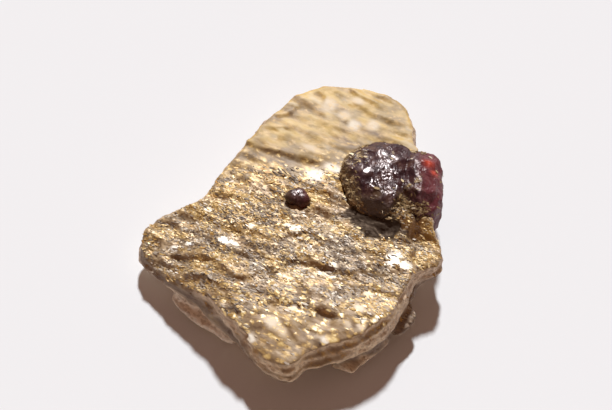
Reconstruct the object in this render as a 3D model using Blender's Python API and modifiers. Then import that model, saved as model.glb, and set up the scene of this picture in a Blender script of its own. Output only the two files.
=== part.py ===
"""Garnet in matrix: a cleaved slab of golden mica schist with a large garnet grown at one edge.

Metres, +Z up. The slab lies on its flat underside. The origin is on the surface it rests on, under the
middle of the whole specimen. +Y runs from the blunt nose to the square far end, and the large garnet
stands at +X.
"""

import math
import random
from itertools import permutations, product

import bmesh
import bpy
from mathutils import Euler, Matrix, Vector, noise

MM = 0.001

# Slab: seven mica sheets of equal thickness, split along the rock's foliation.
SHEETS = 7
SHEET_THICKNESS = 1.0  # mm
SLAB_THICKNESS = SHEETS * SHEET_THICKNESS
RAGGED = 0.55  # mm, how far a sheet's broken edge wanders
UNDERCUT_SHARE = [1.0, 0.9, 0.62, 0.12, 0.0, 0.0, 0.0]  # from the lowest sheet up
SHOULDER_SHARE = [0.0, 0.0, 0.0, 0.0, 0.1, 0.45, 1.0]
# The line, in mm, that the edges stand back towards.
HEART = [Vector((-7.0, -4.0)), Vector((4.0, -6.0)), Vector((7.0, 14.0))]

# Slab outline from above, anticlockwise from the left tip, in mm: x, y, and how far the top edge and the
# foot stand back from it there.
OUTLINE = [
    (-19.9, -3.2, 0.3, 4.5),
    (-18.4, -5.1, 0.3, 3.0),
    (-16.2, -7.2, 0.4, 1.4),
    (-13.6, -9.4, 0.4, 0.7),
    (-10.8, -11.8, 0.6, 0.7),
    (-8.3, -14.6, 0.6, 1.2),
    (-6.1, -17.2, 0.8, 2.2),
    (-4.1, -19.9, 0.9, 3.0),
    (-2.2, -21.7, 1.2, 3.4),
    (-0.3, -22.6, 1.5, 3.8),
    (1.0, -22.0, 1.5, 4.0),
    (2.0, -20.8, 1.5, 4.2),
    (4.2, -20.1, 1.4, 4.2),
    (7.4, -19.2, 1.3, 4.6),
    (10.0, -17.9, 1.2, 4.6),
    (12.4, -16.3, 1.2, 4.6),
    (13.8, -14.2, 0.9, 4.4),
    (15.0, -11.9, 0.7, 4.0),
    (15.8, -9.7, 0.5, 3.6),
    (16.5, -8.0, 0.4, 3.2),
    (18.0, -7.0, 0.3, 3.4),
    (19.5, -6.5, 0.2, 3.4),
    (20.1, -5.0, 0.2, 3.0),
    (19.9, -3.2, 0.2, 2.6),
    (19.5, -1.4, 0.2, 2.2),
    (18.8, 1.5, 0.2, 1.8),
    (18.7, 5.0, 0.2, 1.4),
    (18.5, 9.0, 0.3, 1.2),
    (17.6, 12.4, 0.4, 1.2),
    (17.2, 16.4, 0.4, 1.4),
    (16.2, 19.6, 0.5, 1.6),
    (14.2, 21.5, 0.6, 1.8),
    (11.8, 22.5, 0.6, 1.6),
    (8.6, 23.5, 0.7, 1.6),
    (5.0, 23.9, 0.7, 1.6),
    (2.0, 22.8, 0.7, 1.6),
    (-0.3, 21.1, 0.6, 1.4),
    (-2.6, 18.7, 0.5, 1.2),
    (-4.8, 15.9, 0.5, 1.2),
    (-6.4, 13.1, 0.5, 1.2),
    (-8.3, 10.7, 0.5, 1.2),
    (-9.8, 8.0, 0.5, 1.4),
    (-11.1, 5.6, 0.5, 1.6),
    (-12.7, 4.5, 0.4, 1.8),
    (-15.1, 3.7, 0.3, 2.4),
    (-17.3, 2.6, 0.3, 3.2),
    (-18.9, 1.1, 0.3, 4.0),
    (-19.8, -0.8, 0.3, 4.5),
]

# Thin sheets that stick out past the undercut foot: lowest height, thickness and outline in mm.
PALE_LIP = (1.6, 0.9, [(-15.9, -8.4), (-14.3, -10.0), (-12.0, -12.1), (-9.6, -14.2), (-7.2, -15.6),
                       (-3.0, -12.0), (-9.0, -5.0)])
RIGHT_FLAKE = (2.3, 0.8, [(12.0, -6.0), (18.2, -5.6), (16.6, -7.6), (15.8, -9.8), (16.3, -11.8),
                          (15.4, -13.8), (13.8, -14.7), (9.0, -11.0)])
FRONT_FLAKE = (1.7, 0.8, [(13.0, -15.4), (11.0, -17.4), (9.0, -18.9), (8.0, -19.9), (5.6, -19.1),
                          (3.0, -15.0), (9.0, -11.0)])
LOWER_SHEETS = [PALE_LIP, RIGHT_FLAKE, FRONT_FLAKE]

# Thickness, mm: the slab thins towards its left tip and rolls off along its lower left edge.
TIP_DROP = 2.4
TIP_FROM, TIP_TO = -7.0, -19.5  # x
FRONT_ROLL = 0.6
ROLL_WIDTH = 4.5
FRONT_EDGE = [Vector((-20.0, -3.0)), Vector((-13.6, -9.4)), Vector((-6.1, -17.2)), Vector((-4.0, -19.5))]

# Relief of the top face, mm. The mica is drawn out into streaks along LINEATION.
LINEATION = math.radians(-30.0)
NOSE_DROP = 0.9
NOSE_FROM, NOSE_TO = -13.0, -23.0  # y
FAR_DROP = 0.3
FAR_FROM, FAR_TO = 15.0, 23.0  # y
LEDGE_DROP = 0.75  # the right corner has lost its top sheet
LEDGE_X = 15.7
COLLAR_RISE = 0.55  # mica bent up around the large garnet
COLLAR_CENTRE = Vector((13.8, 5.2))
COLLAR_REACH = Vector((6.5, 5.6))
RIDGE_RISE = 0.95  # mica standing in front of the edge crystal
RIDGE = (Vector((14.6, 0.3)), Vector((18.4, -1.2)))
RIDGE_WIDTH = 2.6
SWELLS = [(0.4, 0.09, 0.16, 1.7), (0.22, 0.35, 1.1, 5.1)]  # height, waves per mm along and across, seed
SHINGLES_PER_MM = 0.42  # overlapping mica scales, each with a broken edge towards the nose
SHINGLE_RISE = 0.62
SHINGLE_EDGE = 0.24  # share of a scale's width that its broken edge takes
STEPS = [  # small breaks in the top sheets: from, to, drop and how far the surface takes to come back up
    ((-1.5, -5.4), (7.6, -7.2), 0.55, 3.2),
    ((3.6, -12.8), (6.4, -14.4), 0.6, 2.4),
    ((-8.0, -0.6), (-3.8, -2.4), 0.45, 2.6),
    ((-16.5, -3.6), (-9.5, -5.4), 0.4, 2.6),
    ((-4.0, -11.8), (3.0, -12.6), 0.4, 3.0),
    ((-5.0, 12.4), (5.6, 9.2), 0.5, 3.4),
    ((8.6, -9.6), (14.4, -11.4), 0.4, 2.6),
]

# Broken sides, mm: lumps, and thin layers of unequal hardness.
LUMP_DEPTH = 0.35
LUMPS_PER_MM = Vector((0.35, 0.35, 0.5))
LAYER_DEPTH = 0.3
LAYERS_PER_MM = Vector((0.12, 0.12, 1.6))
SIDE_SETBACK = 0.15
LOWEST_BREAK = 0.4  # the sides are broken from this height up
STEEP = 0.25  # a face leaning less than this share sideways belongs to the top or the underside
RELIEF_FROM, RELIEF_TO = 2.6, 6.4  # height over which the relief of the top face comes in

VOXEL = 0.36  # mm
SCHIST_TRIANGLES = 8000
GAP = 0.3  # mm between the rock and each crystal
SAW_SIZE = 100.0  # mm

# Large garnet, mm: two intergrown crystals, each a dodecahedron whose edges are bevelled by trapezohedron
# faces. A bevel is trapezohedron distance over dodecahedron distance, and 1.15 leaves none. Turned by 35.3
# degrees about Y a crystal stands as a six-sided block with a low roof.
MAIN_CENTRE = Vector((12.0, 6.4, 6.1))
MAIN_REACH = Vector((4.8, 5.9, 4.3))  # across, along and up, from the centre
MAIN_TURN = (-4.0, 35.3, -20.0)  # degrees
MAIN_BEVEL = 1.02
EDGE_CENTRE = Vector((16.75, 5.3, 6.2))
EDGE_REACH = Vector((3.2, 5.7, 3.75))
EDGE_TURN = (0.0, 58.0, 88.0)
EDGE_BEVEL = 1.03
MAIN_SEED, EDGE_SEED = 3, 8
UNEVEN = 0.025  # share by which each face grew more or less than its equals
PLATES = 9  # parallel growths standing a little proud of each crystal's faces
PLATE_SIZE = (0.42, 0.62)  # of the crystal's
PLATE_CLIMB = (-0.1, 1.0)  # radians above level
PLATE_STEP = (1.04, 1.12)  # how far a plate stands out, over where its face would lie flush

# Small garnets, mm: centre, reach and turn of each grain of the cluster.
SMALL_BEVEL = 1.05
SMALL_GRAINS = [
    (Vector((0.4, 3.9, 7.2)), 0.78, (10.0, 20.0, 15.0)),
    (Vector((1.4, 4.3, 7.3)), 0.75, (-20.0, 5.0, 50.0)),
    (Vector((1.9, 3.2, 7.2)), 0.8, (25.0, -15.0, 80.0)),
]


def clear_scene():
    for obj in list(bpy.data.objects):
        bpy.data.objects.remove(obj, do_unlink=True)


def new_collection(name):
    collection = bpy.data.collections.new(name)
    bpy.context.scene.collection.children.link(collection)
    return collection


def material(name, colour, roughness, metallic=0.0, transmission=0.0, ior=1.5):
    made = bpy.data.materials.new(name)
    made.use_nodes = True
    shader = made.node_tree.nodes["Principled BSDF"]
    shader.inputs["Base Color"].default_value = (*colour, 1.0)
    shader.inputs["Roughness"].default_value = roughness
    shader.inputs["Metallic"].default_value = metallic
    shader.inputs["Transmission Weight"].default_value = transmission
    shader.inputs["IOR"].default_value = ior
    made.diffuse_color = (*colour, 1.0)
    return made


def smoothstep(low, high, value):
    t = min(max((value - low) / (high - low), 0.0), 1.0)
    return t * t * (3.0 - 2.0 * t)


def new_object(name, data, collection):
    obj = bpy.data.objects.new(name, data)
    collection.objects.link(obj)
    return obj


def as_mesh(obj, weld=0.0):
    """Replace an object by its mesh with the modifiers applied, and merge points closer than weld."""
    depsgraph = bpy.context.evaluated_depsgraph_get()
    mesh = bpy.data.meshes.new_from_object(obj.evaluated_get(depsgraph))
    if weld:
        bm = bmesh.new()
        bm.from_mesh(mesh)
        bmesh.ops.remove_doubles(bm, verts=bm.verts, dist=weld)
        bm.to_mesh(mesh)
        bm.free()
    made = bpy.data.objects.new(obj.name + "_mesh", mesh)
    made.matrix_world = obj.matrix_world
    for collection in obj.users_collection:
        collection.objects.link(made)
    name = obj.name
    bpy.data.objects.remove(obj, do_unlink=True)
    made.name = name
    return made


def join(objects):
    """Join meshes into the first one, each at its own place."""
    bm = bmesh.new()
    for obj in objects:
        placed = obj.data.copy()
        placed.transform(obj.matrix_world)
        bm.from_mesh(placed)
        bpy.data.meshes.remove(placed)
    kept = objects[0]
    kept.matrix_world = Matrix.Identity(4)
    bm.to_mesh(kept.data)
    bm.free()
    for obj in objects[1:]:
        bpy.data.objects.remove(obj, do_unlink=True)
    return kept


def boolean(obj, operation, others):
    """Union with or cut by each of the other objects, which are used up."""
    for other in others:
        modifier = obj.modifiers.new("boolean", "BOOLEAN")
        modifier.operation = operation
        modifier.solver = "EXACT"
        modifier.object = other
    made = as_mesh(obj)
    for other in others:
        bpy.data.objects.remove(other, do_unlink=True)
    return made


def sheet(name, points, bottom, thickness, corners, collection):
    """One flat mica sheet in mm: a closed outline with AUTO or VECTOR corners, filled and thickened."""
    curve = bpy.data.curves.new(name, "CURVE")
    curve.dimensions = "2D"
    curve.fill_mode = "BOTH"
    curve.extrude = thickness / 2 * MM
    curve.resolution_u = 3
    spline = curve.splines.new("BEZIER")
    spline.bezier_points.add(len(points) - 1)
    spline.use_cyclic_u = True
    for knot, (x, y) in zip(spline.bezier_points, points):
        knot.co = (x * MM, y * MM, 0.0)
        knot.handle_left_type = knot.handle_right_type = corners
    obj = new_object(name, curve, collection)
    obj.location.z = (bottom + thickness / 2) * MM
    bpy.context.view_layer.update()
    return as_mesh(obj, weld=0.01 * MM)


def nearest_on_heart(point):
    """The nearest point of the line that the slab's edges stand back towards."""
    candidates = []
    for start, end in zip(HEART, HEART[1:]):
        along = (point - start).dot(end - start) / (end - start).length_squared
        candidates.append(start.lerp(end, min(max(along, 0.0), 1.0)))
    return min(candidates, key=lambda c: (c - point).length)


def sheet_outline(level):
    """The slab's outline at one sheet: set back at the foot and at the top edge, and broken unevenly."""
    points = []
    for x, y, shoulder, undercut in OUTLINE:
        point = Vector((x, y))
        inward = (nearest_on_heart(point) - point).normalized()
        setback = shoulder * SHOULDER_SHARE[level] + undercut * UNDERCUT_SHARE[level]
        wander = RAGGED * noise.noise(Vector((x * 0.45, y * 0.45, level * 5.3)))
        points.append(point + inward * (setback + abs(wander)))
    return points


def distance_to_segment(point, start, end):
    """A point's distance from a line, its place along it from 0 to 1, and its side (+ is the -Y side)."""
    line = end - start
    along = (point - start).dot(line) / line.length_squared
    nearest = start.lerp(end, min(max(along, 0.0), 1.0))
    side = line.y * (point.x - start.x) - line.x * (point.y - start.y)
    return (point - nearest).length, along, side


def step_drop(point):
    """How much the small breaks lower the top face here: sudden on one side, easing out on the other."""
    drop = 0.0
    for start, end, depth, reach in STEPS:
        away, along, side = distance_to_segment(point, Vector(start), Vector(end))
        if side < 0.0 or not 0.0 <= along <= 1.0:
            continue
        ends = smoothstep(0.0, 0.2, along) * (1.0 - smoothstep(0.75, 1.0, along))
        drop = max(drop, depth * ends * smoothstep(0.0, 0.35, away) * (1.0 - smoothstep(0.4, reach, away)))
    return drop


def thinning(point):
    """How much thinner the slab is at a point than in its middle, in mm."""
    thinner = TIP_DROP * smoothstep(TIP_FROM, TIP_TO, point.x)
    from_edge = min(distance_to_segment(point, *edge)[0] for edge in zip(FRONT_EDGE, FRONT_EDGE[1:]))
    return thinner + FRONT_ROLL * (1.0 - smoothstep(0.0, ROLL_WIDTH, from_edge))


def shingle_rise(along, across):
    """Height of the overlapping mica scales, at a place along and across the lineation."""
    number = across * SHINGLES_PER_MM + 2.3 * noise.noise(Vector((along * 0.15, across * 0.2, 9.4)))
    share = number - math.floor(number)
    height = 0.18 + noise.noise(Vector((along * 0.17, across * 0.25, math.floor(number) * 3.1)))
    return SHINGLE_RISE * max(height, 0.0) * smoothstep(0.0, SHINGLE_EDGE, share) * (1.0 - share)


def top_relief(point):
    """Height of the top face above the plain slab at a point, both in mm."""
    x, y = point
    rise = -NOSE_DROP * smoothstep(NOSE_FROM, NOSE_TO, y) - FAR_DROP * smoothstep(FAR_FROM, FAR_TO, y)
    ledge = smoothstep(LEDGE_X, LEDGE_X + 0.4, x + 0.25 * math.sin(y * 1.9))
    rise -= LEDGE_DROP * ledge * smoothstep(0.2, -1.2, y)
    from_garnet = Vector(((x - COLLAR_CENTRE.x) / COLLAR_REACH.x, (y - COLLAR_CENTRE.y) / COLLAR_REACH.y))
    rise += COLLAR_RISE * (1.0 - smoothstep(0.85, 1.35, from_garnet.length))
    rise += RIDGE_RISE * (1.0 - smoothstep(0.3, RIDGE_WIDTH, distance_to_segment(point, *RIDGE)[0]))
    rise -= step_drop(point)
    along = x * math.cos(LINEATION) + y * math.sin(LINEATION)
    across = -x * math.sin(LINEATION) + y * math.cos(LINEATION)
    for height, waves_along, waves_across, seed in SWELLS:
        rise += height * noise.noise(Vector((along * waves_along, across * waves_across, seed)))
    return rise + shingle_rise(along, across)


def wall_relief(place):
    """How far the broken side stands in or out at a point, in mm."""
    lumps = noise.noise(place * LUMPS_PER_MM + Vector((0.0, 0.0, 20.0)))
    layers = noise.noise(place * LAYERS_PER_MM + Vector((0.0, 0.0, 40.0)))
    return LUMP_DEPTH * lumps + LAYER_DEPTH * layers - SIDE_SETBACK


def shape_rock(mesh):
    """Move the rock's points: thinner edges, top relief and uneven broken sides."""
    for vertex in mesh.vertices:
        place = vertex.co / MM
        flat = Vector((place.x, place.y))
        sideways = Vector((vertex.normal.x, vertex.normal.y))
        if place.z > LOWEST_BREAK and sideways.length > STEEP:
            flat += sideways.normalized() * wall_relief(place) * sideways.length
        height = place.z * (1.0 - thinning(flat) / SLAB_THICKNESS)
        height += top_relief(flat) * smoothstep(RELIEF_FROM, RELIEF_TO, place.z)
        vertex.co = Vector((flat.x, flat.y, height)) * MM


def triangle_count(mesh):
    mesh.calc_loop_triangles()
    return len(mesh.loop_triangles)


def schist_matrix(collection):
    """The slab: sheets stacked, fused, weathered, thinned to few triangles and sawn flat underneath."""
    sheets = []
    for level in range(SHEETS):
        bottom = level * SHEET_THICKNESS - (1.0 if level == 0 else 0.05)
        thickness = (level + 1) * SHEET_THICKNESS - bottom
        sheets.append(sheet(f"sheet_{level}", sheet_outline(level), bottom, thickness, "AUTO", collection))
    for number, (bottom, thickness, points) in enumerate(LOWER_SHEETS):
        sheets.append(sheet(f"lower_sheet_{number}", points, bottom, thickness, "VECTOR", collection))
    rock = join(sheets)
    rock.name = "schist_matrix"

    remesh = rock.modifiers.new("fuse", "REMESH")
    remesh.mode = "VOXEL"
    remesh.voxel_size = VOXEL * MM
    smooth = rock.modifiers.new("weather", "SMOOTH")
    smooth.factor = 0.5
    smooth.iterations = 2
    rock = as_mesh(rock)
    shape_rock(rock.data)

    decimate = rock.modifiers.new("thin_out", "DECIMATE")
    decimate.ratio = SCHIST_TRIANGLES / triangle_count(rock.data)
    rock = as_mesh(rock)

    saw = new_object("saw", bpy.data.meshes.new("saw"), collection)
    bm = bmesh.new()
    below = Matrix.Translation((0, 0, -SAW_SIZE / 2 * MM))
    bmesh.ops.create_cube(bm, size=SAW_SIZE * MM, matrix=below)
    bm.to_mesh(saw.data)
    bm.free()
    return boolean(rock, "DIFFERENCE", [saw])


def crystal_faces(bevel):
    """Unit normals of the 12 dodecahedron and 24 trapezohedron faces, with distance factors."""
    dodecahedron = {p for s in product((1, -1), repeat=2) for p in permutations((s[0], s[1], 0))}
    trapezohedron = {p for s in product((1, -1), repeat=3) for p in permutations((2 * s[0], s[1], s[2]))}
    faces = [(Vector(index).normalized(), 1.0) for index in sorted(dodecahedron)]
    faces += [(Vector(index).normalized(), bevel) for index in sorted(trapezohedron)]
    return faces


def crystal(name, centre, reach, turn, bevel, grow, seed, collection):
    """One garnet crystal in mm: a block sliced along each face, a dodecahedron face up before its turn."""
    draw = random.Random(seed)
    half = math.sqrt(0.5)
    stand = Matrix(((0, 0, -1), (-half, half, 0), (half, half, 0)))
    turned = Euler([math.radians(a) for a in turn]).to_matrix() @ stand
    bm = bmesh.new()
    bmesh.ops.create_cube(bm, size=6 * max(reach))
    for index, factor in crystal_faces(bevel):
        normal = turned @ index
        size = (normal * reach).length
        distance = size * factor * (1.0 + draw.uniform(-UNEVEN, UNEVEN)) + grow
        cut = bmesh.ops.bisect_plane(bm, geom=bm.verts[:] + bm.edges[:] + bm.faces[:],
                                     plane_co=normal * distance, plane_no=normal, clear_outer=True)
        rim = [e for e in cut["geom_cut"] if isinstance(e, bmesh.types.BMEdge)]
        if rim:
            bmesh.ops.edgenet_fill(bm, edges=rim)
    bmesh.ops.recalc_face_normals(bm, faces=bm.faces)
    bmesh.ops.transform(bm, matrix=Matrix.Scale(MM, 4) @ Matrix.Translation(centre), verts=bm.verts)
    mesh = bpy.data.meshes.new(name)
    bm.to_mesh(mesh)
    bm.free()
    return new_object(name, mesh, collection)


def grown_crystal(name, centre, reach, turn, bevel, grow, seed, collection):
    """A crystal with parallel plates on its upper faces, each a little proud of the face it grew on."""
    draw = random.Random(seed)
    bodies = [crystal(name, centre, reach, turn, bevel, grow, seed, collection)]
    for number in range(PLATES):
        size = draw.uniform(*PLATE_SIZE)
        heading = Vector((1.0, 0.0, 0.0))
        heading.rotate(Euler((0.0, -draw.uniform(*PLATE_CLIMB), draw.uniform(0.0, 2.0 * math.pi))))
        shift = heading * reach * (1.0 - size) * draw.uniform(*PLATE_STEP)
        bodies.append(crystal(f"{name}_plate_{number}", centre + shift, reach * size, turn, bevel, grow,
                              seed * 100 + number, collection))
    return boolean(bodies[0], "UNION", bodies[1:])


def large_garnet(grow, collection):
    """The big crystal and the one intergrown with it at the slab's edge, as one solid."""
    main = grown_crystal("large_garnet", MAIN_CENTRE, MAIN_REACH, MAIN_TURN, MAIN_BEVEL, grow,
                         MAIN_SEED, collection)
    edge = grown_crystal("edge_crystal", EDGE_CENTRE, EDGE_REACH, EDGE_TURN, EDGE_BEVEL, grow,
                         EDGE_SEED, collection)
    return boolean(main, "UNION", [edge])


def small_garnet(grow, collection):
    """A cluster of three small grains grown together."""
    grains = []
    for number, (centre, size, turn) in enumerate(SMALL_GRAINS):
        reach = Vector((size, size, size))
        name = f"grain_{number}"
        grains.append(crystal(name, centre, reach, turn, SMALL_BEVEL, grow, number, collection))
    cluster = boolean(grains[0], "UNION", grains[1:])
    cluster.name = "small_garnet"
    return cluster


def centre_specimen(objects):
    """Slide everything so that the origin is under the middle of the whole specimen."""
    corners = [v.co for obj in objects for v in obj.data.vertices]
    middle = [(min(c[i] for c in corners) + max(c[i] for c in corners)) / 2 for i in (0, 1)]
    for obj in objects:
        obj.data.transform(Matrix.Translation((-middle[0], -middle[1], 0.0)))


def build():
    clear_scene()
    parts = new_collection("garnet_in_matrix")
    cutters = new_collection("cutters")

    rock = schist_matrix(parts)
    pockets = [large_garnet(GAP, cutters), small_garnet(GAP, cutters)]
    for pocket in pockets:
        pocket.hide_render = True
        pocket.display_type = "WIRE"
    rock = boolean(rock, "DIFFERENCE", pockets)
    big = large_garnet(0.0, parts)
    small = small_garnet(0.0, parts)

    rock.data.materials.append(material("mica_schist", (0.42, 0.29, 0.15), 0.45, metallic=0.35))
    garnet = material("almandine", (0.16, 0.02, 0.025), 0.12, transmission=0.4, ior=1.79)
    big.data.materials.append(garnet)
    small.data.materials.append(garnet)
    centre_specimen([rock, big, small])


build()
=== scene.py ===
"""Garnet in matrix: a hand specimen of golden mica schist that holds dark red almandine garnets."""

import math

import bmesh
import bpy
import numpy as np
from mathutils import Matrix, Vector, noise


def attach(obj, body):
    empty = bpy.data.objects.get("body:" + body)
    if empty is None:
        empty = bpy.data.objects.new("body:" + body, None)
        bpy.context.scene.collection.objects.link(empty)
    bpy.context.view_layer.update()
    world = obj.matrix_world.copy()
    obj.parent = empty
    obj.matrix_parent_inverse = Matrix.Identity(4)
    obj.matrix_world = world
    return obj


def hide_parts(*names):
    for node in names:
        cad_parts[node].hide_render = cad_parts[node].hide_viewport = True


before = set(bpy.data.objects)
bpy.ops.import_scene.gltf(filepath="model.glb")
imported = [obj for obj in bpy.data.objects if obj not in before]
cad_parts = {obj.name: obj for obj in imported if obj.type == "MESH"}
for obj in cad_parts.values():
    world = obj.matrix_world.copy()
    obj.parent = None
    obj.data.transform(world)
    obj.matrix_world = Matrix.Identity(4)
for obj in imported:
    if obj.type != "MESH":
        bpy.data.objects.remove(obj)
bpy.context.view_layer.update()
MM = 0.001

# ----------------------------------------------------------------------------------------------------------
# View and light. The specimen lies on a pale table. A macro lens looks down on it over its blunt nose, and
# one small lamp behind it lights the mica and throws the shadow towards the lens.
LOOK_DOWN = math.radians(55.0)
LOOK_AT = Vector((2.15, 2.40, 6.2)) * MM
LENS_DISTANCE = 234.9 * MM
LAMP_TURN = math.radians(3.5)
LAMP_HEIGHT = math.radians(44.0)
LAMP_POWER = 4.52
LAMP_WIDTH = math.radians(5.0)
LAMP_COLOUR = (0.913, 0.959, 1.0)
ROOM_COLOUR = (0.202, 0.118, 0.089)
TABLE_COLOUR = (0.80, 0.80, 0.80)
TABLE_SIZE = 3.0  # metres

camera_data = bpy.data.cameras.new("macro_camera")
camera_data.lens = 105.0
camera_data.sensor_width = 36.0
camera_data.clip_start = 0.01
camera = bpy.data.objects.new("macro_camera", camera_data)
bpy.context.scene.collection.objects.link(camera)
forward = Vector((0.0, math.cos(LOOK_DOWN), -math.sin(LOOK_DOWN)))
camera.location = LOOK_AT - forward * LENS_DISTANCE
camera.rotation_euler = (math.pi / 2 - LOOK_DOWN, 0.0, 0.0)
bpy.context.scene.camera = camera
bpy.context.scene.view_settings.view_transform = "Standard"

lamp_data = bpy.data.lights.new("lamp", "SUN")
lamp_data.energy = LAMP_POWER
lamp_data.color = LAMP_COLOUR
lamp_data.angle = LAMP_WIDTH
lamp = bpy.data.objects.new("lamp", lamp_data)
lamp.rotation_euler = (LAMP_HEIGHT - math.pi / 2, 0.0, -LAMP_TURN)
bpy.context.scene.collection.objects.link(lamp)

room = bpy.data.worlds.new("room")
room.use_nodes = True
room.node_tree.nodes["Background"].inputs["Color"].default_value = (*ROOM_COLOUR, 1.0)
bpy.context.scene.world = room

bpy.ops.mesh.primitive_plane_add(size=TABLE_SIZE)
table = bpy.context.active_object
table.name = "table"
table_paint = bpy.data.materials.new("table_paint")
table_paint.use_nodes = True
table_shader = table_paint.node_tree.nodes["Principled BSDF"]
table_shader.inputs["Base Color"].default_value = (*TABLE_COLOUR, 1.0)
table_shader.inputs["Roughness"].default_value = 0.9
table_shader.inputs["Specular IOR Level"].default_value = 0.1
table.data.materials.append(table_paint)

# ----------------------------------------------------------------------------------------------------------
# Rock. The slab of schist is one piece, split along its layers: drawn-out mica streaks on top, thin layers
# at the sides. The plain solid is refined, its points follow the rock's grain, and each point carries the
# values by which the material tints it. Sizes and places are in mm unless a comment says otherwise.
LINEATION = math.radians(-30.0)  # the direction in which the mica is drawn out
ROCK_VOXEL = 0.23 * MM
WELD = 0.0005 * MM
FAR_END, FAR_FADE = 3.2, 6.5  # where along Y the grain begins to coarsen, and over what length it goes on
NEAR_END, NEAR_FADE, NEAR_MOST = -8.0, 8.0, 0.85  # the same towards the near end, up to this share
CALM_ENDS = 0.85  # share of the fine relief that the ends lack
RISERS = 4.0  # a terrace's riser takes one part in so many
FLAT_FROM, FLAT_OVER = 0.4, 0.4  # how far a face has to look up before its grain is that of the top


def rise(value, start, width):
    """From 0 at start to 1 at a width above it."""
    return np.clip((value - start) / width, 0.0, 1.0)


def fall(value, start, width):
    """From 0 at start to 1 at a width below it."""
    return np.clip((start - value) / width, 0.0, 1.0)


def streak_coordinates(place):
    """A place seen along and across the direction in which the mica is drawn out."""
    along = place[0] * math.cos(LINEATION) + place[1] * math.sin(LINEATION)
    across = -place[0] * math.sin(LINEATION) + place[1] * math.cos(LINEATION)
    return along, across, place[2]


def end_share(y):
    """From 0 in the middle of the slab to 1 at its far and near ends, at a distance y along it."""
    return np.maximum(rise(y, FAR_END, FAR_FADE), fall(y, NEAR_END, NEAR_FADE) * NEAR_MOST)


def terraces(value):
    """Turns an even slope into steps: flat treads with short risers."""
    tread = math.floor(value)
    return tread + min((value - tread) * RISERS, 1.0)


def wave(height, place, waves, offset=0.0):
    """Smooth noise of a height at a place, with so many waves per mm along each of its axes."""
    x, y, z = (distance * per_mm for distance, per_mm in zip(place, waves))
    return height * noise.noise(Vector((x, y, z + offset)))


def rock_grain(place, normal):
    """How far a place on the rock moves: ripples, scales and grains on top, thin layers at the sides."""
    streaked = streak_coordinates(place)
    flat = max(0.0, min(1.0, (abs(normal.z) - FLAT_FROM) / FLAT_OVER))
    calm = 1.0 - CALM_ENDS * float(end_share(place.y))
    swell = wave(0.17, streaked, (0.22, 0.42, 0.0), 5.0)
    ripples = wave(0.10, streaked, (0.30, 0.95, 0.0), 12.0)
    scales = 0.06 * (terraces(wave(4.0, streaked, (0.30, 0.75, 0.0), 3.0)) - 0.5)
    streaks = wave(0.08, streaked, (0.7, 2.2, 0.6))
    grains = wave(0.05, streaked, (1.8, 3.0, 2.0), 9.0)
    layers = wave(0.16, place, (0.25, 0.25, 2.6)) + wave(0.09, place, (0.8, 0.8, 6.0))
    lumps = wave(0.22, place, (0.9, 0.9, 0.9))
    top = swell * (0.4 + 0.6 * calm) + (ripples + scales + streaks + grains) * calm
    return flat * top + (1.0 - flat) * (layers + lumps + grains)


def cad_copy(node, name):
    """A new piece with a node's shape, its loose triangles merged into one skin."""
    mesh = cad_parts[node].data.copy()
    mesh.name = name
    mesh.materials.clear()
    skin = bmesh.new()
    skin.from_mesh(mesh)
    bmesh.ops.remove_doubles(skin, verts=skin.verts, dist=WELD)
    skin.to_mesh(mesh)
    skin.free()
    for label in [a.name for a in mesh.attributes if a.name.startswith("custom")]:
        mesh.attributes.remove(mesh.attributes[label])
    piece = bpy.data.objects.new(name, mesh)
    bpy.context.scene.collection.objects.link(piece)
    return piece


def even_mesh(piece, voxel, smoothing):
    """Give a piece an even fine mesh, smoothed so many times."""
    bpy.ops.object.select_all(action="DESELECT")
    bpy.context.view_layer.objects.active = piece
    piece.select_set(True)
    remesh = piece.modifiers.new("even_mesh", "REMESH")
    remesh.mode = "VOXEL"
    remesh.voxel_size = voxel
    bpy.ops.object.modifier_apply(modifier=remesh.name)
    smooth = piece.modifiers.new("smooth", "SMOOTH")
    smooth.factor = 0.5
    smooth.iterations = smoothing
    bpy.ops.object.modifier_apply(modifier=smooth.name)


def move_points(piece, relief):
    """Move every point of a piece along its normal by relief(place, normal), and none below the table."""
    count = len(piece.data.vertices)
    places, normals = np.empty(count * 3), np.empty(count * 3)
    piece.data.vertices.foreach_get("co", places)
    piece.data.vertex_normals.foreach_get("vector", normals)
    places, normals = places.reshape(-1, 3), normals.reshape(-1, 3)
    steps = [relief(Vector(place), Vector(normal)) for place, normal in zip(places / MM, normals)]
    places += normals * np.array(steps)[:, None] * MM
    places[:, 2] = np.maximum(places[:, 2], 0.0)
    piece.data.vertices.foreach_set("co", places.ravel())
    piece.data.update()
    return places


def add_values(mesh, label, values):
    """Store one value per point under a name that materials can read."""
    attribute = mesh.attributes.new(label, "FLOAT", "POINT")
    attribute.data.foreach_set("value", np.asarray(values, dtype=np.float32))


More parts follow.
